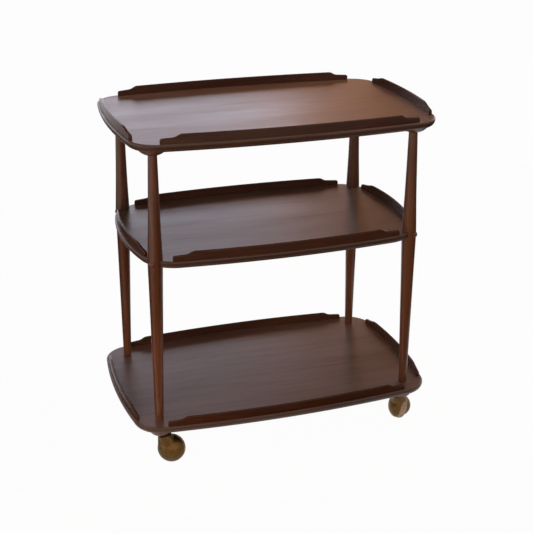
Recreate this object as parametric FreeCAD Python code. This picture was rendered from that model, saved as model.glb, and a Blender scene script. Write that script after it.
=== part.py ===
import math
import os

import FreeCAD
import Part
from FreeCAD import Vector

os.makedirs("parts", exist_ok=True)

# All sizes are in millimetres. X runs along the trolley, Y to its back, Z up; the floor is Z 0.
TRAY_T = 18.0
NOSE_TOP_R = 3.5
NOSE_LOW_R = 13.0
# name: length, depth, radius of long edges, radius of end edges, corner radius, Z of the upper face
TRAYS = {
    "top": (710.0, 464.0, 2630.0, 1135.0, 65.0, 757.5),
    "middle": (670.0, 423.0, 2320.0, 585.0, 86.0, 494.0),
    "bottom": (727.0, 464.0, 2630.0, 1135.0, 65.0, 110.0),
}

# Gallery lip: heights over the tray, inset and width of its foot, and the depth it is let into the tray.
LIP_H = 19.5
SHOULDER_H = 12.6
SHOULDER_END_H = 11.2
LIP_INSET = 4.2
LIP_FOOT_W = 8.6
LIP_TOP_W = 5.4
LIP_LEAN = 1.6
LIP_OUT_R = 2.6
LIP_IN_R = 1.7
HOUSING_D = 3.0
END_ROUND = 4.5
# name: half length, half length at full height and run of the ogee, for the long lips and the end lips
LIP_RUNS = {
    "top": ((286.0, 238.0, 22.0), (160.0, 108.0, 38.0)),
    "middle": ((261.0, 211.0, 22.0), (142.0, 90.0, 38.0)),
    "bottom": ((286.0, 238.0, 22.0), (160.0, 108.0, 38.0)),
}

# Turned legs: place of the axis at the swell, and how far the foot leans outwards in X and in Y, in degrees.
LEG_X = 294.5
LEG_Y = 168.3
LEG_SWELL_Z = 487.0
LEG_LEAN = 0.47
LEG_FOOT_R = 9.45
LEG_SWELL_R = 16.3
LEG_NECK_R = 9.75
TENON_R = 8.0
TENON_IN_TOP = 10.5
# radius against Z between the foot and the neck
LEG_CURVE = [
    (11.05, 205.0), (12.8, 298.0), (14.5, 392.0), (15.75, 452.0), (LEG_SWELL_R, LEG_SWELL_Z),
    (15.35, 521.0), (13.9, 558.0), (11.85, 635.0), (10.2, 708.0),
]

# Turned bosses under a tray: radius, thickness, straight rim, radius of the flat base, bulge
BOSSES = {"top": (31.0, 14.5, 2.0, 10.95, 2.4), "bottom": (27.0, 20.0, 6.0, 15.0, 2.4)}

# Screws that hold the middle tray in the leg notches, and the plugs over them.
SCREW_R = 2.4
SCREW_L = 38.0
HEAD_R = 4.4
HEAD_H = 3.0
PLUG_R = 6.5
PLUG_SEAT = 12.5
PLUG_RIM = 16.6
PLUG_DOME = 3.0

# Casters: a ball of two domes with the tyre between them, on a tilted axle that trails the stem.
CASTER_X = 294.5
CASTER_Y = 168.3
TRAIL = 22.0
SIDE = 8.0
TILT = 15.0
TYRE_RING_R = 18.8
TYRE_CROWN_R = 13.0
TYRE_HALF_W = 7.5
TYRE_SEAT_R = 21.5
HOOD_R = 32.6
HOOD_DEPTH = 27.0
HOOD_WALL = 2.0
HOOD_RIM = 8.3
CAP_R = 26.5
CAP_DEPTH = 26.0
AXLE_R = 3.5
STEM_R = 4.0
RUN_FIT = 0.05
NECK_R = 7.0
FAIRING_R = 25.0
FAIRING_TOP_R = 13.0
FAIRING_SHIFT = 6.0
WHEEL_ROOM = 1.2
NECK_GAP = 0.4
SOCKET_R = 5.0
SOCKET_L = 18.0
FLANGE_R = 10.0
FLANGE_T = 1.5
# name: side in X, side in Y, angle of the trail in plan, hand of the hood
CORNERS = {
    "front_left": (-1, -1, -25.0, -1),
    "front_right": (1, -1, 82.0, 1),
    "back_left": (-1, 1, -25.0, -1),
    "back_right": (1, 1, 82.0, 1),
}

UP = Vector(0, 0, 1)
ZERO = Vector(0, 0, 0)
TILT_RAD = math.radians(TILT)
BALL_Z = TYRE_RING_R * math.cos(TILT_RAD) + TYRE_CROWN_R
BOSS_BOTTOM = TRAYS["bottom"][5] - TRAY_T - BOSSES["bottom"][1]
FLANGE_BOTTOM = BOSS_BOTTOM - FLANGE_T
NECK_TOP = FLANGE_BOTTOM - NECK_GAP
STEM_TOP = BOSS_BOTTOM + SOCKET_L - 1.0
LEG_NECK_Z = TRAYS["top"][5] - TRAY_T - BOSSES["top"][1]


def corner_points(length, depth, r_long, r_end, r_corner):
    """Tangent points and crown of one corner arc, with its centre, in the +X +Y quarter."""
    c1 = Vector(0, depth / 2 - r_long, 0)
    c2 = Vector(length / 2 - r_end, 0, 0)
    d1 = r_long - r_corner
    d2 = r_end - r_corner
    gap = c2 - c1
    span = gap.Length
    along = (d1 * d1 - d2 * d2 + span * span) / (2 * span)
    across = math.sqrt(d1 * d1 - along * along)
    e = gap / span
    n = Vector(-e.y, e.x, 0)
    if n.x + n.y < 0:
        n = n * -1
    k = c1 + e * along + n * across
    t1 = c1 + (k - c1) * (r_long / d1)
    t2 = c2 + (k - c2) * (r_end / d2)
    bisector = (t1 - k) + (t2 - k)
    crown = k + bisector * (r_corner / bisector.Length)
    return t1, crown, t2, k


def outline_face(length, depth, r_long, r_end, r_corner, z):
    t1, crown, t2, k = corner_points(length, depth, r_long, r_end, r_corner)

    def at(p, sx, sy):
        return Vector(p.x * sx, p.y * sy, z)

    back = Vector(0, depth / 2, z)
    right = Vector(length / 2, 0, z)
    arcs = [
        (at(t1, -1, 1), back, at(t1, 1, 1)),
        (at(t1, 1, 1), at(crown, 1, 1), at(t2, 1, 1)),
        (at(t2, 1, 1), right, at(t2, 1, -1)),
        (at(t2, 1, -1), at(crown, 1, -1), at(t1, 1, -1)),
        (at(t1, 1, -1), Vector(0, -depth / 2, z), at(t1, -1, -1)),
        (at(t1, -1, -1), at(crown, -1, -1), at(t2, -1, -1)),
        (at(t2, -1, -1), Vector(-length / 2, 0, z), at(t2, -1, 1)),
        (at(t2, -1, 1), at(crown, -1, 1), at(t1, -1, 1)),
    ]
    return Part.Face(Part.Wire([Part.Arc(*a).toShape() for a in arcs]))


def edges_at(shape, z):
    return [e for e in shape.Edges if all(abs(v.Z - z) < 1e-6 for v in e.Vertexes)]


def tray_board(name):
    length, depth, r_long, r_end, r_corner, z = TRAYS[name]
    board = outline_face(length, depth, r_long, r_end, r_corner, z - TRAY_T).extrude(UP * TRAY_T)
    board = board.makeFillet(NOSE_LOW_R, edges_at(board, z - TRAY_T))
    return board.makeFillet(NOSE_TOP_R, edges_at(board, z))


def turned(points, axis=UP, at=ZERO):
    """Solid of revolution from (radius, height) points joined by straight lines."""
    corners = [Vector(r, 0, h) for r, h in points]
    face = Part.Face(Part.makePolygon(corners + corners[:1]))
    return placed(face.revolve(ZERO, UP, 360), axis, at)


def placed(shape, axis, at):
    shape.Placement = FreeCAD.Placement(at, FreeCAD.Rotation(UP, axis))
    return shape


def curve(points):
    spline = Part.BSplineCurve()
    spline.interpolate(points)
    return spline.toShape()


def lip_section(edge_y, z):
    """Tapered section of a back lip in the YZ plane, taller than the lip and let into the tray."""
    y = edge_y - LIP_INSET
    inner = y - LIP_FOOT_W
    low = z - HOUSING_D
    high = z + LIP_H + 5.0
    rise = (high - low) / LIP_H
    in_lean = LIP_FOOT_W - LIP_TOP_W - LIP_LEAN
    pts = [
        Vector(0, inner, low), Vector(0, y, low), Vector(0, y - LIP_LEAN * rise, high),
        Vector(0, inner + in_lean * rise, high),
    ]
    return Part.Face(Part.makePolygon(pts + pts[:1]))


def lip_elevation(half, half_full, run, z):
    """Outline of a lip seen from its side: full height in the middle, an ogee to a low shoulder."""
    floor = z - HOUSING_D
    edges = []
    for s in (-1, 1):
        top = Vector(s * half_full, 0, z + LIP_H)
        foot = Vector(s * (half_full + run), 0, z + SHOULDER_H)
        turn = Vector(s * (half - END_ROUND), 0, z + SHOULDER_END_H)
        fall = (turn - foot) / abs(turn.x - foot.x)
        corner = turn + fall * END_ROUND
        end = corner - UP * END_ROUND
        ogee = Part.BezierCurve()
        ogee.setPoles([top, top + Vector(s * run / 2, 0, 0), foot - fall * (run / 2), foot])
        bend = Part.BezierCurve()
        bend.setPoles([turn, corner, end])
        edges += [ogee.toShape(), Part.makeLine(foot, turn), bend.toShape()]
        edges.append(Part.makeLine(end, Vector(end.x, 0, floor)))
    edges.append(Part.makeLine(Vector(-half_full, 0, z + LIP_H), Vector(half_full, 0, z + LIP_H)))
    edges.append(Part.makeLine(Vector(-half, 0, floor), Vector(half, 0, floor)))
    return Part.Face(Part.Wire(Part.__sortEdges__(edges)))


def rim_edges(lip, centre, z, middle, side):
    """Edges up the ends and along the top of a lip, on its outer (side 1) or inner (side -1) face."""
    found = []
    for edge in lip.Edges:
        ends = [v.Point for v in edge.Vertexes]
        reach = [math.hypot(p.x - centre.x, p.y - centre.y) - middle for p in ends]
        on_side = all(r * side > 0.8 for r in reach)
        above = max(p.z for p in ends) > z - HOUSING_D + 0.01
        if on_side and above:
            found.append(edge)
    return found


def back_lip(depth, radius, half, half_full, run, z):
    """A lip along the back edge of a tray of this depth; turned about Z for the other edges."""
    centre = Vector(0, depth / 2 - radius, 0)
    sweep = math.degrees(math.asin((half + 6.0) / (radius - LIP_INSET - LIP_FOOT_W)))
    section = lip_section(depth / 2, z)
    section.rotate(centre, UP, -sweep)
    band = section.revolve(centre, UP, 2 * sweep)
    cutter = lip_elevation(half, half_full, run, z)
    cutter.translate(Vector(0, depth / 2 - 90, 0))
    lip = band.common(cutter.extrude(Vector(0, 120, 0)))
    middle = radius - LIP_INSET - LIP_FOOT_W / 2
    lip = lip.makeFillet(LIP_OUT_R, rim_edges(lip, centre, z, middle, 1))
    return lip.makeFillet(LIP_IN_R, rim_edges(lip, centre, z, middle, -1))


def lips(name):
    length, depth, r_long, r_end, r_corner, z = TRAYS[name]
    long_run, end_run = LIP_RUNS[name]
    out = {}
    for side, turn in (("back", 0), ("front", 180), ("left", 90), ("right", -90)):
        if side in ("back", "front"):
            lip = back_lip(depth, r_long, *long_run, z)
        else:
            lip = back_lip(length, r_end, *end_run, z)
        lip.rotate(ZERO, UP, turn)
        out[f"{name}_{side}_gallery"] = lip
    return out


def boss(name, x, y):
    """Turned saucer block under a tray: a straight rim, domed below."""
    radius, thick, rim, base_r, bulge = BOSSES[name]
    z = TRAYS[name][5] - TRAY_T
    bottom = z - thick
    pts = [Vector(radius, 0, z), Vector(radius, 0, z - rim), Vector(base_r, 0, bottom)]
    chord = pts[2] - pts[1]
    crown = (pts[1] + pts[2]) / 2 + Vector(-chord.z, 0, chord.x).normalize() * bulge
    dome = Part.Arc(pts[1], crown, pts[2]).toShape()
    low = Vector(0, 0, bottom)
    high = Vector(0, 0, z)
    edges = [
        Part.makeLine(pts[0], pts[1]), dome, Part.makeLine(pts[2], low), Part.makeLine(low, high),
        Part.makeLine(high, pts[0]),
    ]
    solid = Part.Face(Part.Wire(edges)).revolve(ZERO, UP, 360)
    solid.translate(Vector(x, y, 0))
    return solid


def leg_at(sx, sy, z):
    """Point of a leg's leaning axis at height z."""
    out = (LEG_SWELL_Z - z) * math.tan(math.radians(LEG_LEAN))
    return Vector(sx * (LEG_X + out), sy * (LEG_Y + out), z)


def tenon(sx, sy, low, high):
    """Round bar along a leg's leaning axis."""
    foot = leg_at(sx, sy, low)
    run = leg_at(sx, sy, high) - foot
    return Part.makeCylinder(TENON_R, run.Length, foot, run)


def leg(sx, sy):
    """Turned leg, level where it stands on the tray and meets its boss, with a tenon at each end."""
    foot = TRAYS["bottom"][5]
    over = 3.0
    knots = [(LEG_FOOT_R, foot)] + LEG_CURVE + [(LEG_NECK_R, LEG_NECK_Z)]
    side = curve([Vector(r, 0, z - LEG_SWELL_Z) for r, z in knots])
    low = foot - LEG_SWELL_Z
    high = LEG_NECK_Z - LEG_SWELL_Z
    pts = [
        Vector(LEG_NECK_R, 0, high), Vector(LEG_NECK_R, 0, high + over), Vector(0, 0, high + over),
        Vector(0, 0, low - over), Vector(LEG_FOOT_R, 0, low - over), Vector(LEG_FOOT_R, 0, low),
    ]
    edges = [side] + [Part.makeLine(a, b) for a, b in zip(pts, pts[1:])]
    shaft = Part.Face(Part.Wire(edges)).revolve(ZERO, UP, 360)
    shaft = placed(shaft, leg_at(sx, sy, LEG_NECK_Z) - leg_at(sx, sy, foot), leg_at(sx, sy, LEG_SWELL_Z))
    slab = Part.makeBox(1000, 1000, LEG_NECK_Z - foot, Vector(-500, -500, foot))
    top = TRAYS["top"][5] - TRAY_T + TENON_IN_TOP
    return shaft.common(slab).fuse(tenon(sx, sy, foot - TRAY_T + 0.5, top))


def screw_frame(sx, sy):
    """Axis of a middle-tray screw: a point on the leg axis and the outward direction."""
    length, depth, r_long, r_end, r_corner, z = TRAYS["middle"]
    k = corner_points(length, depth, r_long, r_end, r_corner)[3]
    out = Vector(LEG_X - k.x, LEG_Y - k.y, 0).normalize()
    return leg_at(sx, sy, z - TRAY_T / 2 + 1.0), Vector(sx * out.x, sy * out.y, 0)


def screw(at, out):
    head = PLUG_SEAT - 0.3
    pts = [
        (0, head), (HEAD_R, head), (HEAD_R, head - 0.6), (SCREW_R, head - HEAD_H),
        (SCREW_R, head - SCREW_L + 5.0), (0, head - SCREW_L),
    ]
    return turned(pts, out, at)


def plug(at, out):
    """Round plug seated over the screw head, its domed end standing out of the leg."""
    ball_r = (PLUG_R ** 2 + PLUG_DOME ** 2) / (2 * PLUG_DOME)
    half = math.asin(PLUG_R / ball_r) / 2
    centre = PLUG_RIM + PLUG_DOME - ball_r
    pts = [Vector(0, 0, PLUG_RIM + PLUG_DOME), Vector(0, 0, PLUG_SEAT), Vector(PLUG_R, 0, PLUG_SEAT),
           Vector(PLUG_R, 0, PLUG_RIM)]
    bend = Vector(ball_r * math.sin(half), 0, centre + ball_r * math.cos(half))
    edges = [Part.makeLine(a, b) for a, b in zip(pts, pts[1:])]
    edges.append(Part.Arc(pts[-1], bend, pts[0]).toShape())
    return placed(Part.Face(Part.Wire(edges)).revolve(ZERO, UP, 360), out, at)


def socket(x, y):
    """Brass sleeve driven up into the boss, with a flange under it."""
    bore = STEM_R + RUN_FIT
    top = BOSS_BOTTOM + SOCKET_L
    pts = [
        (bore, FLANGE_BOTTOM), (FLANGE_R, FLANGE_BOTTOM), (FLANGE_R, BOSS_BOTTOM),
        (SOCKET_R, BOSS_BOTTOM), (SOCKET_R, top), (bore, top),
    ]
    return turned(pts, UP, Vector(x, y, 0))


def dome_edge(radius, depth, cut, sign):
    """Quarter-ellipse edge from height cut to the pole, above (sign 1) or below (sign -1) Z 0."""
    first = math.asin(cut / depth)
    steps = [first + (math.pi / 2 - first) * i / 8 for i in range(9)]
    pts = [Vector(radius * math.cos(a), 0, sign * depth * math.sin(a)) for a in steps]
    pts[-1].x = 0
    slope = Vector(-radius * math.sin(first), 0, sign * depth * math.cos(first)).normalize()
    spline = Part.BSplineCurve()
    spline.interpolate(Points=pts, InitialTangent=slope, FinalTangent=Vector(-1, 0, 0))
    return spline.toShape(), pts[0], pts[-1]


def dome(radius, depth, cut):
    """Half ellipsoid about Z, above height cut."""
    side, rim, pole = dome_edge(radius, depth, cut, 1)
    foot = Vector(0, 0, cut)
    edges = [side, Part.makeLine(pole, foot), Part.makeLine(foot, rim)]
    return Part.Face(Part.Wire(edges)).revolve(ZERO, UP, 360)


def caster(x, y, angle, hand):
    """Hood, stem, axle, wheel and tyre of one caster, about the stem axis at x, y."""
    axis = Vector(0, hand * math.cos(TILT_RAD), math.sin(TILT_RAD))
    ball = Vector(TRAIL, -hand * SIDE, BALL_Z)

    def on_axle(shape):
        return placed(shape, axis, ball)

    shell = on_axle(dome(HOOD_R, HOOD_DEPTH, HOOD_RIM))
    neck_foot = BALL_Z + 9.0
    neck = Part.makeCone(NECK_R + 0.8, NECK_R, NECK_TOP - neck_foot, Vector(0, 0, neck_foot), UP)
    reach = Vector(FAIRING_SHIFT, 0, NECK_TOP) - ball
    fairing = Part.makeCone(FAIRING_R, FAIRING_TOP_R, reach.Length, ball, reach)
    below = Part.makeBox(200, 200, NECK_TOP - 1.0, Vector(-100, -100, 0))
    hollow = on_axle(dome(HOOD_R - HOOD_WALL, HOOD_DEPTH - HOOD_WALL, HOOD_RIM))
    room_r = TYRE_RING_R + TYRE_CROWN_R + WHEEL_ROOM
    room = placed(dome(room_r, CAP_DEPTH + WHEEL_ROOM, 0.0), axis * -1, ball)
    room = room.fuse(on_axle(Part.makeCylinder(room_r, HOOD_RIM)))
    pillar = on_axle(Part.makeCylinder(6.5, 18.0, Vector(0, 0, 7.7), UP))
    hood = shell.fuse(neck).fuse(fairing.common(below)).cut(hollow).cut(room)
    hood = hood.fuse(pillar.common(on_axle(dome(HOOD_R, HOOD_DEPTH, 0.0)))).removeSplitter()
    axle = on_axle(Part.makeCylinder(AXLE_R, 40.0, Vector(0, 0, -18.0), UP))
    stem_low = NECK_TOP - 21.6
    stem = Part.makeCylinder(STEM_R, STEM_TOP - stem_low, Vector(0, 0, stem_low), UP)
    hood = hood.cut(axle).cut(stem)

    bore = AXLE_R + RUN_FIT
    side, rim, pole = dome_edge(CAP_R, CAP_DEPTH, TYRE_HALF_W, -1)
    inside = [
        (0, -19.0), (bore, -19.0), (bore, 7.0), (7.5, 7.0), (7.5, -21.0), (18.5, -14.5),
        (18.5, 7.0), (TYRE_SEAT_R, 7.0), (TYRE_SEAT_R, -TYRE_HALF_W),
    ]
    pts = [pole] + [Vector(r, 0, h) for r, h in inside] + [rim]
    bowl = [side] + [Part.makeLine(a, b) for a, b in zip(pts, pts[1:])]
    wheel = on_axle(Part.Face(Part.Wire(bowl)).revolve(ZERO, UP, 360))

    shoulder = TYRE_RING_R + math.sqrt(TYRE_CROWN_R ** 2 - TYRE_HALF_W ** 2)
    low = Vector(shoulder, 0, -TYRE_HALF_W)
    high = Vector(shoulder, 0, TYRE_HALF_W)
    crown = Part.Arc(low, Vector(TYRE_RING_R + TYRE_CROWN_R, 0, 0), high).toShape()
    seat_high = Vector(TYRE_SEAT_R, 0, TYRE_HALF_W)
    seat_low = Vector(TYRE_SEAT_R, 0, -TYRE_HALF_W)
    ring = [crown, Part.makeLine(high, seat_high), Part.makeLine(seat_high, seat_low),
            Part.makeLine(seat_low, low)]
    tyre = on_axle(Part.Face(Part.Wire(ring)).revolve(ZERO, UP, 360))

    pieces = {"hood": hood, "stem": stem, "axle": axle, "wheel": wheel, "tyre": tyre}
    for shape in pieces.values():
        shape.rotate(ZERO, UP, angle)
        shape.translate(Vector(x, y, 0))
    return pieces


nodes = {}
boards = {name: tray_board(name) for name in TRAYS}
for name in TRAYS:
    for node, lip in lips(name).items():
        boards[name] = boards[name].cut(lip)
        nodes[node] = lip

screws = []
plugs = []
for corner, (sx, sy, angle, hand) in CORNERS.items():
    x = sx * CASTER_X
    y = sy * CASTER_Y
    at, out = screw_frame(sx, sy)
    screws.append(screw(at, out))
    plugs.append(plug(at, out))
    plug_bore = Part.makeCylinder(PLUG_R, 20.0, at + out * PLUG_SEAT, out)
    post = leg(sx, sy)
    boards["top"] = boards["top"].cut(post)
    boards["bottom"] = boards["bottom"].cut(tenon(sx, sy, BOSS_BOTTOM, TRAYS["bottom"][5] + 5.0))
    head = leg_at(sx, sy, LEG_NECK_Z)
    nodes[f"top_{corner}_boss"] = boss("top", head.x, head.y).cut(post)
    socket_bore = Part.makeCylinder(SOCKET_R, SOCKET_L + 1.0, Vector(x, y, BOSS_BOTTOM))
    nodes[f"bottom_{corner}_boss"] = boss("bottom", x, y).cut(socket_bore)
    nodes[f"{corner}_leg"] = post.cut(boards["middle"]).cut(plug_bore).cut(screws[-1])
    boards["middle"] = boards["middle"].cut(screws[-1])
    nodes[f"{corner}_caster_socket"] = socket(x, y)
    for piece, shape in caster(x, y, angle, hand).items():
        nodes[f"{corner}_caster_{piece}"] = shape
for name, board in boards.items():
    nodes[f"{name}_tray"] = board
nodes["middle_tray_screws"] = Part.makeCompound(screws)
nodes["screw_plugs"] = Part.makeCompound(plugs)

for name, shape in nodes.items():
    shape.exportStep(f"parts/{name}.step")
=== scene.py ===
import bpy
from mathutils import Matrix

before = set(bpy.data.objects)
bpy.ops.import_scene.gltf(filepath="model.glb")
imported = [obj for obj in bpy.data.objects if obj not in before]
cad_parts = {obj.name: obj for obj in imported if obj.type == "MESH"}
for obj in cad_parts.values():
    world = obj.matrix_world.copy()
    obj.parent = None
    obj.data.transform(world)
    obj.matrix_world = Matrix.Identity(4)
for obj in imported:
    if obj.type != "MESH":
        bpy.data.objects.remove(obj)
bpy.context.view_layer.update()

import math

import bpy
from mathutils import Matrix, Vector

# Camera of the photograph, in metres and radians in the trolley's own frame.
CAMERA_AT = Vector((-0.790506, -2.401742, 1.415335))
CAMERA_YAW = 0.3219
CAMERA_PITCH = 0.3902
CAMERA_ROLL = -0.0059
CAMERA_LENS_MM = 78.25
CAMERA_SENSOR_MM = 36.0

# How far a pattern is turned so that its grain, which runs along X, follows the piece.
GRAIN_TURN = {"x": (0.0, 0.0, 0.0), "y": (0.0, 0.0, -math.pi / 2), "z": (0.0, math.pi / 2, 0.0)}

# Noise in the wood, in spots per metre along the grain and across it.
WANDER_PER_M = (2.2, 9.0, 9.0)
CLOUD_PER_M = (2.6, 12.0, 12.0)
STREAK_PER_M = (4.0, 80.0, 80.0)
# A fibre is this many times longer than it is wide.
FIBRE_STRETCH = 28
# How far apart along the plank, in metres, two staves may be cut, and where a single stick is cut.
PLANK_SHIFT = 4.0
STICK_PLACE = 0.3
# Heart of the tree under the surface: its fall per metre, and its depth and wander in metres.
HEART_SLOPE = 0.05
HEART_DEPTH = 0.02
HEART_WANDER = 0.09
# From one ring to the next: pale early wood darkens slowly and ends at a line of late wood.
RING_TONES = [(0.0, (1, 1, 1, 1)), (0.62, (0.95, 0.94, 0.93, 1)), (0.9, (0.8, 0.78, 0.76, 1)),
              (1.0, (1, 1, 1, 1))]
RING_SHARE = 0.6
FIBRE_SHARE = 0.4
# Noise values at which the three tones of a stain stand.
STAIN_AT = (0.28, 0.5, 0.74)
# Noise values between which pores open, and the part of the sheen that is left over them.
PORES_BEGIN = 0.5
PORES_OPEN = 0.72
PORE_SHEEN = 0.55
# Upward part of the normal at which a board's face turns into its side; between the two, painted shade
# darkens the side.
SIDE_BEGINS = 0.99
SIDE_COMPLETE = 0.8
POLISH_IOR = 1.5

# Noise on the metal and the rubber, in spots per metre.
TARNISH_PER_M = 110.0
GRIT_PER_M = 900.0
DUST_PER_M = 220.0

# Floor, in metres, the part of it that shows as plain white, and the world's light on the trolley.
FLOOR_SIZE = 24.0
FLOOR_DROP = 0.0005
FLOOR_GLOW = 0.97
FILL_STRENGTH = 0.22

# Lamps: place, point aimed at, width and height in metres, watts and colour.
LAMPS = {
    # Windows: the back one is the broad pale shine on the trays, the warm one a patch at their right.
    "window_back": ((-0.2, 8.0, 2.3), (-0.2, 0, 2.3), (7.0, 1.9), 130.0, "#e4e3fa"),
    "window_left": ((-3.2, -0.4, 0.9), (0, 0, 0.6), (1.0, 0.9), 16.0, "#e6ecff"),
    "window_right": ((3.1, 2.6, 1.5), (0, 0, 0.6), (1.4, 1.2), 18.0, "#e6e8ff"),
    "window_warm": ((2.55, 6.4, 3.1), (2.55, 0, 3.1), (0.9, 0.5), 6.5, "#ffb894"),
    # Room light from above and from the front.
    "overhead_soft": ((-0.2, -0.4, 3.1), (0, 0, 0.5), (2.4, 2.0), 8.0, "#fff4e6"),
    "warm_shade": ((0.62, 0.0, 1.75), (0.3, 0, 0.75), (0.7, 0.7), 4.0, "#ffdcae"),
    "front_fill": ((-0.5, -3.2, 0.9), (0, 0, 0.4), (4.2, 2.2), 25.0, "#ffd2a2"),
    # A small lamp on the lower half of the near left leg.
    "warm_low_front": ((-0.75, -0.75, 0.3), (-0.3, -0.18, 0.3), (0.3, 0.3), 1.8, "#ffe2c0"),
}
# Lamps that light the wood but leave no spot in the polish and the brass.
UNSEEN_IN_POLISH = ("warm_low_front",)

UPRIGHT = math.pi / 2
# Cards: place, width and height in metres, turn and colour.
CARDS = {
    # Behind: an amber wall at the right of the back window, and a dark one above it.
    "warm_card_right": ((4.2, 6.7, 2.35), (3.2, 2.3), (UPRIGHT, 0, -0.49), "#c47c1c"),
    "brown_card_high": ((0.5, 8.0, 8.5), (14.0, 10.0), (UPRIGHT, 0, 0), "#4a3428"),
    # Just over the floor: tray edges, lips and legs mirror these and stay dark brown.
    "dark_card_front": ((1.1, -1.9, 0.002), (4.8, 3.0), (0, 0, 0), "#1c1714"),
    "dark_card_right": ((2.2, 0.6, 0.002), (2.6, 2.0), (0, 0, 0), "#1c1714"),
    "dark_card_left": ((-1.15, 1.35, 0.002), (1.4, 3.1), (0, 0, 0), "#1c1714"),
}


def srgb(code):
    """Linear RGBA of an sRGB hex colour."""
    parts = [int(code[i:i + 2], 16) / 255 for i in (1, 3, 5)]
    return [c / 12.92 if c <= 0.04045 else ((c + 0.055) / 1.055) ** 2.4 for c in parts] + [1.0]


def add(tree, kind, inputs=None, stops=(), **settings):
    """One node with its settings; inputs are values, or sockets to link from.

    stops are the (position, colour) pairs of a node that has a colour band.
    """
    made = tree.nodes.new(kind)
    for key, value in settings.items():
        setattr(made, key, value)
    for key, value in (inputs or {}).items():
        if isinstance(value, bpy.types.NodeSocket):
            tree.links.new(value, made.inputs[key])
        else:
            made.inputs[key].default_value = value
    if stops:
        band = made.color_ramp.elements
        while len(band) < len(stops):
            band.new(1.0)
        for element, (position, colour) in zip(band, stops):
            element.position = position
            element.color = colour
    return made


def blank_material(name):
    material = bpy.data.materials.new(name)
    material.use_nodes = True
    material.node_tree.nodes.clear()
    return material, material.node_tree


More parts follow.
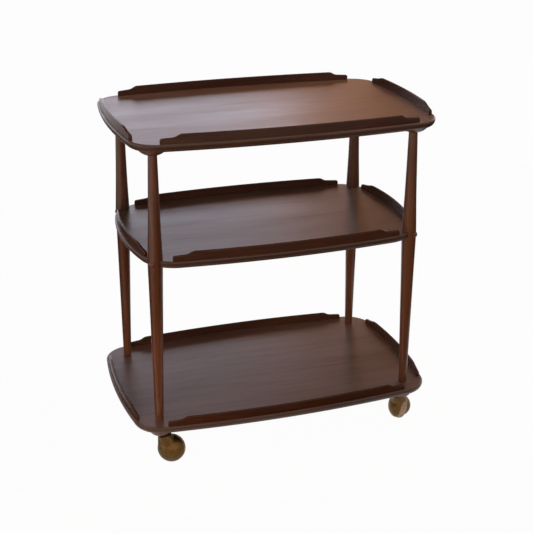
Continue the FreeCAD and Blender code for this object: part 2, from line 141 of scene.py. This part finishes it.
def polished_wood(name, grain, stain, ring_mm, fibre_mm, stave_mm, roughness, specular, sides_shade_and_sheen_level=1.0):
    """Stained wood under a rubbed satin polish: long fibres, faint growth rings, a soft sheen.

    stain holds the dark, middle and light tones. A board glued up from staves changes its figure
    at each stave; stave_mm 0 is a piece cut from one stick. The last argument is how much of the colour
    and of the sheen is left round the sides of a board: the darker colour there is painted shade, and
    the sheen is cut there too.
    """
    material, tree = blank_material(name)
    place = add(tree, "ShaderNodeTexCoord").outputs["Object"]
    along = add(tree, "ShaderNodeMapping", {"Vector": place, "Rotation": GRAIN_TURN[grain]}).outputs[0]
    axes = add(tree, "ShaderNodeSeparateXYZ", {0: along}).outputs

    across = axes["Y"]
    chance = STICK_PLACE
    if stave_mm:
        wide = stave_mm / 1000
        cell = add(tree, "ShaderNodeMath", {0: across, 1: wide}, operation="DIVIDE").outputs[0]
        stave = add(tree, "ShaderNodeMath", {0: cell}, operation="FLOOR").outputs[0]
        chance = add(tree, "ShaderNodeTexWhiteNoise", {"W": stave},
                     noise_dimensions="1D").outputs["Value"]
        part = add(tree, "ShaderNodeMath", {0: cell}, operation="FRACT").outputs[0]
        across = add(tree, "ShaderNodeMath", {0: part, 1: wide, 2: -wide / 2},
                     operation="MULTIPLY_ADD").outputs[0]

    # Each stave is cut from another length of the plank.
    shift = add(tree, "ShaderNodeMath", {0: chance, 1: PLANK_SHIFT, 2: axes["X"]},
                operation="MULTIPLY_ADD").outputs[0]
    plank = add(tree, "ShaderNodeCombineXYZ", {0: shift, 1: axes["Y"], 2: axes["Z"]}).outputs[0]

    # Growth rings: how far the surface lies from the heart, which wanders and slopes away.
    slow = add(tree, "ShaderNodeMapping", {"Vector": plank, "Scale": WANDER_PER_M}).outputs[0]
    wander = add(tree, "ShaderNodeTexNoise", {"Vector": slow, "Scale": 1.0, "Detail": 2.0}).outputs[0]
    slope = add(tree, "ShaderNodeMath", {0: shift, 1: HEART_SLOPE, 2: HEART_DEPTH},
                operation="MULTIPLY_ADD").outputs[0]
    depth = add(tree, "ShaderNodeMath", {0: wander, 1: HEART_WANDER, 2: slope},
                operation="MULTIPLY_ADD").outputs[0]
    spot = add(tree, "ShaderNodeCombineXYZ", {0: across, 1: depth, 2: axes["Z"]}).outputs[0]
    heart = add(tree, "ShaderNodeVectorMath", {0: spot}, operation="LENGTH").outputs["Value"]
    count = add(tree, "ShaderNodeMath", {0: heart, 1: ring_mm / 1000}, operation="DIVIDE").outputs[0]
    ring = add(tree, "ShaderNodeMath", {0: count}, operation="FRACT").outputs[0]
    line = add(tree, "ShaderNodeValToRGB", {"Fac": ring}, RING_TONES).outputs["Color"]

    # Fibres, drawn a few times coarser than the pores of the real wood so that they show.
    fine = 1000 / fibre_mm
    thread = add(tree, "ShaderNodeMapping",
                 {"Vector": plank, "Scale": (fine / FIBRE_STRETCH, fine, fine)}).outputs[0]
    fibre = add(tree, "ShaderNodeTexNoise", {"Vector": thread, "Scale": 1.0, "Detail": 3.0}).outputs[0]
    patch = add(tree, "ShaderNodeMapping", {"Vector": plank, "Scale": CLOUD_PER_M}).outputs[0]
    cloud = add(tree, "ShaderNodeTexNoise", {"Vector": patch, "Scale": 1.0, "Detail": 3.0}).outputs[0]
    tone = add(tree, "ShaderNodeMath", {0: fibre, 1: FIBRE_SHARE, 2: -FIBRE_SHARE / 2},
               operation="MULTIPLY_ADD").outputs[0]
    blend = add(tree, "ShaderNodeMath", {0: cloud, 1: tone}, operation="ADD").outputs[0]
    tones = [(position, srgb(code)) for position, code in zip(STAIN_AT, stain)]
    body = add(tree, "ShaderNodeValToRGB", {"Fac": blend}, tones).outputs["Color"]
    colour = add(tree, "ShaderNodeMix", {0: RING_SHARE, 6: body, 7: line},
                 data_type="RGBA", blend_type="MULTIPLY").outputs[2]

    # Open pores gather in streaks about 12 mm wide, and break the polish there.
    streak = add(tree, "ShaderNodeMapping", {"Vector": plank, "Scale": STREAK_PER_M}).outputs[0]
    pore = add(tree, "ShaderNodeTexNoise",
               {"Vector": streak, "Scale": 1.0, "Detail": 5.0, "Distortion": 0.6}).outputs[0]
    sheen = add(tree, "ShaderNodeMapRange",
                {"Value": pore, "From Min": PORES_BEGIN, "From Max": PORES_OPEN,
                 "To Min": specular, "To Max": specular * PORE_SHEEN}).outputs[0]

    # Painted shade: the colour darkens where the board's face turns into its side, and the sheen is cut
    # there as well.
    if sides_shade_and_sheen_level < 1.0:
        facing = add(tree, "ShaderNodeNewGeometry").outputs["Normal"]
        upward = add(tree, "ShaderNodeSeparateXYZ", {0: facing}).outputs["Z"]
        side_shade_and_sheen = add(tree, "ShaderNodeMapRange",
                    {"Value": upward, "From Min": SIDE_COMPLETE, "From Max": SIDE_BEGINS,
                     "To Min": sides_shade_and_sheen_level, "To Max": 1.0}).outputs[0]
        colour = add(tree, "ShaderNodeMix", {0: 1.0, 6: colour, 7: side_shade_and_sheen},
                     data_type="RGBA", blend_type="MULTIPLY").outputs[2]
        sheen = add(tree, "ShaderNodeMath", {0: sheen, 1: side_shade_and_sheen}, operation="MULTIPLY").outputs[0]

    rub = add(tree, "ShaderNodeMapRange",
              {"Value": cloud, "From Min": 0.3, "From Max": 0.7, "To Min": roughness - 0.04,
               "To Max": roughness + 0.05}).outputs[0]
    bump = add(tree, "ShaderNodeBump",
               {"Strength": 0.05, "Distance": 0.0003, "Height": fibre}).outputs[0]
    shader = add(tree, "ShaderNodeBsdfPrincipled",
                 {"Base Color": colour, "Roughness": rub, "Normal": bump, "IOR": POLISH_IOR,
                  "Specular IOR Level": sheen})
    add(tree, "ShaderNodeOutputMaterial", {"Surface": shader.outputs[0]})
    return material


def aged_metal(name, worn, tarnish, rough_low, rough_high):
    """Metal that has dulled: brighter where it is rubbed, darker tarnish in soft patches."""
    material, tree = blank_material(name)
    place = add(tree, "ShaderNodeTexCoord").outputs["Object"]
    # Patches about 9 mm across, and a fine grain of about 1 mm.
    patch = add(tree, "ShaderNodeTexNoise",
                {"Vector": place, "Scale": TARNISH_PER_M, "Detail": 4.0, "Roughness": 0.55}).outputs[0]
    colour = add(tree, "ShaderNodeValToRGB", {"Fac": patch},
                 [(0.34, srgb(tarnish)), (0.64, srgb(worn))]).outputs["Color"]
    dull = add(tree, "ShaderNodeMapRange",
               {"Value": patch, "From Min": 0.35, "From Max": 0.65, "To Min": rough_high,
                "To Max": rough_low}).outputs[0]
    grit = add(tree, "ShaderNodeTexNoise",
               {"Vector": place, "Scale": GRIT_PER_M, "Detail": 2.0}).outputs[0]
    bump = add(tree, "ShaderNodeBump", {"Strength": 0.1, "Distance": 0.0002, "Height": grit}).outputs[0]
    shader = add(tree, "ShaderNodeBsdfPrincipled",
                 {"Base Color": colour, "Metallic": 1.0, "Roughness": dull, "Normal": bump})
    add(tree, "ShaderNodeOutputMaterial", {"Surface": shader.outputs[0]})
    return material


def tan_rubber(name):
    """Moulded rubber tyre, matt, with floor dust ground into it in spots of about 5 mm."""
    material, tree = blank_material(name)
    place = add(tree, "ShaderNodeTexCoord").outputs["Object"]
    dust = add(tree, "ShaderNodeTexNoise",
               {"Vector": place, "Scale": DUST_PER_M, "Detail": 5.0}).outputs[0]
    colour = add(tree, "ShaderNodeValToRGB", {"Fac": dust},
                 [(0.35, srgb("#a08c75")), (0.62, srgb("#c4b098"))]).outputs["Color"]
    bump = add(tree, "ShaderNodeBump", {"Strength": 0.15, "Distance": 0.0003, "Height": dust}).outputs[0]
    shader = add(tree, "ShaderNodeBsdfPrincipled",
                 {"Base Color": colour, "Roughness": 0.62, "Normal": bump, "IOR": 1.52})
    add(tree, "ShaderNodeOutputMaterial", {"Surface": shader.outputs[0]})
    return material


def dress_pieces():
    """A finish for every piece of the trolley, by the end of its name."""
    tray_stain = ("#543929", "#624435", "#6d4e3e")
    lip_stain = ("#3a2116", "#4b2c1e", "#5a3725")
    leg_stain = ("#482a1a", "#623b27", "#764a30")
    # Elm boards: open, wandering figure about 9 mm from ring to ring, staves about 118 mm wide.
    # The last number, 0.62, is the painted shade on the board sides, and the share of sheen left there.
    elm_board = polished_wood("elm_board_dark_stain", "x", tray_stain, 9.0, 3.5, 118.0, 0.36, 0.5, 0.62)
    # Elm lips: the same wood stained darker, with little shine, so that they outline the trays.
    elm_lip_long = polished_wood("elm_lip_long_dark_stain", "x", lip_stain, 6.0, 3.0, 0.0, 0.26, 0.13)
    elm_lip_end = polished_wood("elm_lip_end_dark_stain", "y", lip_stain, 6.0, 3.0, 0.0, 0.26, 0.13)
    # Turned beech: close grained and redder, with a clear shine down the rounds.
    beech = polished_wood("beech_turned_dark_stain", "z", leg_stain, 5.0, 2.5, 0.0, 0.26, 0.4)
    # Brass: dull brown on the balls, paler on the collars, where the stems rub.
    brass = aged_metal("brass_aged_plate", "#614727", "#574022", 0.38, 0.44)
    collar = aged_metal("brass_rubbed_collar", "#8f6f40", "#755a33", 0.26, 0.36)
    # Plain grey steel for the stems, axles and screws, which are almost hidden.
    steel = aged_metal("steel_bright_drawn", "#b9b6b0", "#8f8c86", 0.25, 0.4)
    # Rubber: a pale matt band between the brass domes.
    rubber = tan_rubber("rubber_tan_moulded")
    finish = {
        "tray": elm_board, "front_gallery": elm_lip_long, "back_gallery": elm_lip_long,
        "left_gallery": elm_lip_end, "right_gallery": elm_lip_end, "leg": beech, "boss": beech,
        "screw_plugs": beech, "hood": brass, "wheel": brass, "socket": collar, "stem": steel,
        "axle": steel, "screws": steel, "tyre": rubber,
    }
    for name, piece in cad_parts.items():
        ending = max((key for key in finish if name.endswith(key)), key=len)
        piece.data.materials.clear()
        piece.data.materials.append(finish[ending])


def set_camera():
    ahead = Vector((math.sin(CAMERA_YAW) * math.cos(CAMERA_PITCH),
                    math.cos(CAMERA_YAW) * math.cos(CAMERA_PITCH), -math.sin(CAMERA_PITCH)))
    level = Vector((math.cos(CAMERA_YAW), -math.sin(CAMERA_YAW), 0.0))
    down = ahead.cross(level)
    right = level * math.cos(CAMERA_ROLL) + down * math.sin(CAMERA_ROLL)
    down = down * math.cos(CAMERA_ROLL) - level * math.sin(CAMERA_ROLL)
    bpy.ops.object.camera_add()
    camera = bpy.context.object
    turned = Matrix((right, -down, -ahead)).transposed().to_4x4()
    camera.matrix_world = Matrix.Translation(CAMERA_AT) @ turned
    camera.data.sensor_width = CAMERA_SENSOR_MM
    camera.data.lens = CAMERA_LENS_MM
    bpy.context.scene.camera = camera


def background_seen(tree):
    """1 on rays from the camera, off a shiny surface or through glass, which see plain white."""
    path = add(tree, "ShaderNodeLightPath").outputs
    seen = add(tree, "ShaderNodeMath", {0: path["Is Camera Ray"], 1: path["Is Glossy Ray"]},
               operation="MAXIMUM").outputs[0]
    return add(tree, "ShaderNodeMath", {0: seen, 1: path["Is Transmission Ray"]},
               operation="MAXIMUM").outputs[0]


def set_world():
    """White where it is seen, and a weak cool fill where it only lights the trolley."""
    world = bpy.data.worlds.new("pale_studio")
    bpy.context.scene.world = world
    world.use_nodes = True
    tree = world.node_tree
    tree.nodes.clear()
    fill = add(tree, "ShaderNodeBackground",
               {"Color": srgb("#f4f2ff"), "Strength": FILL_STRENGTH}).outputs[0]
    white = add(tree, "ShaderNodeBackground", {"Color": (1, 1, 1, 1), "Strength": 1.0}).outputs[0]
    both = add(tree, "ShaderNodeMixShader", {0: background_seen(tree), 1: fill, 2: white}).outputs[0]
    add(tree, "ShaderNodeOutputWorld", {"Surface": both})


def set_floor():
    """Pale floor just under the tyres: nearly white where it is seen, with a trace of shadow."""
    bpy.ops.object.select_all(action="DESELECT")
    bpy.ops.mesh.primitive_plane_add(size=FLOOR_SIZE, location=(0, 0, -FLOOR_DROP))
    floor = bpy.context.object
    floor.name = "pale_floor"
    material, tree = blank_material("white_studio_floor")
    matt = add(tree, "ShaderNodeBsdfDiffuse", {"Color": srgb("#f2f1f0")}).outputs[0]
    glow = add(tree, "ShaderNodeEmission", {"Color": (1, 1, 1, 1), "Strength": 1.0}).outputs[0]
    part = add(tree, "ShaderNodeMath", {0: background_seen(tree), 1: FLOOR_GLOW},
               operation="MULTIPLY").outputs[0]
    both = add(tree, "ShaderNodeMixShader", {0: part, 1: matt, 2: glow}).outputs[0]
    add(tree, "ShaderNodeOutputMaterial", {"Surface": both})
    floor.data.materials.append(material)


def add_lamp(name, at, to, size, power, colour):
    bpy.ops.object.light_add(type="AREA", location=at)
    lamp = bpy.context.object
    lamp.name = name
    lamp.rotation_mode = "QUATERNION"
    lamp.rotation_quaternion = (Vector(to) - Vector(at)).to_track_quat("-Z", "Y")
    lamp.data.shape = "RECTANGLE"
    lamp.data.size, lamp.data.size_y = size
    lamp.data.energy = power
    lamp.data.color = srgb(colour)[:3]
    lamp.visible_glossy = name not in UNSEEN_IN_POLISH


def add_card(name, at, size, turn, colour):
    """Card that the camera does not see: the polish mirrors it in place of the white background."""
    bpy.ops.object.select_all(action="DESELECT")
    bpy.ops.mesh.primitive_plane_add(size=1.0, location=at, rotation=turn)
    card = bpy.context.object
    card.name = name
    card.scale = (size[0], size[1], 1.0)
    card.visible_camera = False
    card.visible_shadow = False
    material, tree = blank_material(name + "_board")
    board = add(tree, "ShaderNodeEmission", {"Color": srgb(colour), "Strength": 1.0}).outputs[0]
    add(tree, "ShaderNodeOutputMaterial", {"Surface": board})
    card.data.materials.append(material)


dress_pieces()
set_camera()
set_world()
set_floor()
for lamp_name, lamp_values in LAMPS.items():
    add_lamp(lamp_name, *lamp_values)
for card_name, card_values in CARDS.items():
    add_card(card_name, *card_values)
bpy.context.scene.view_settings.view_transform = "Standard"
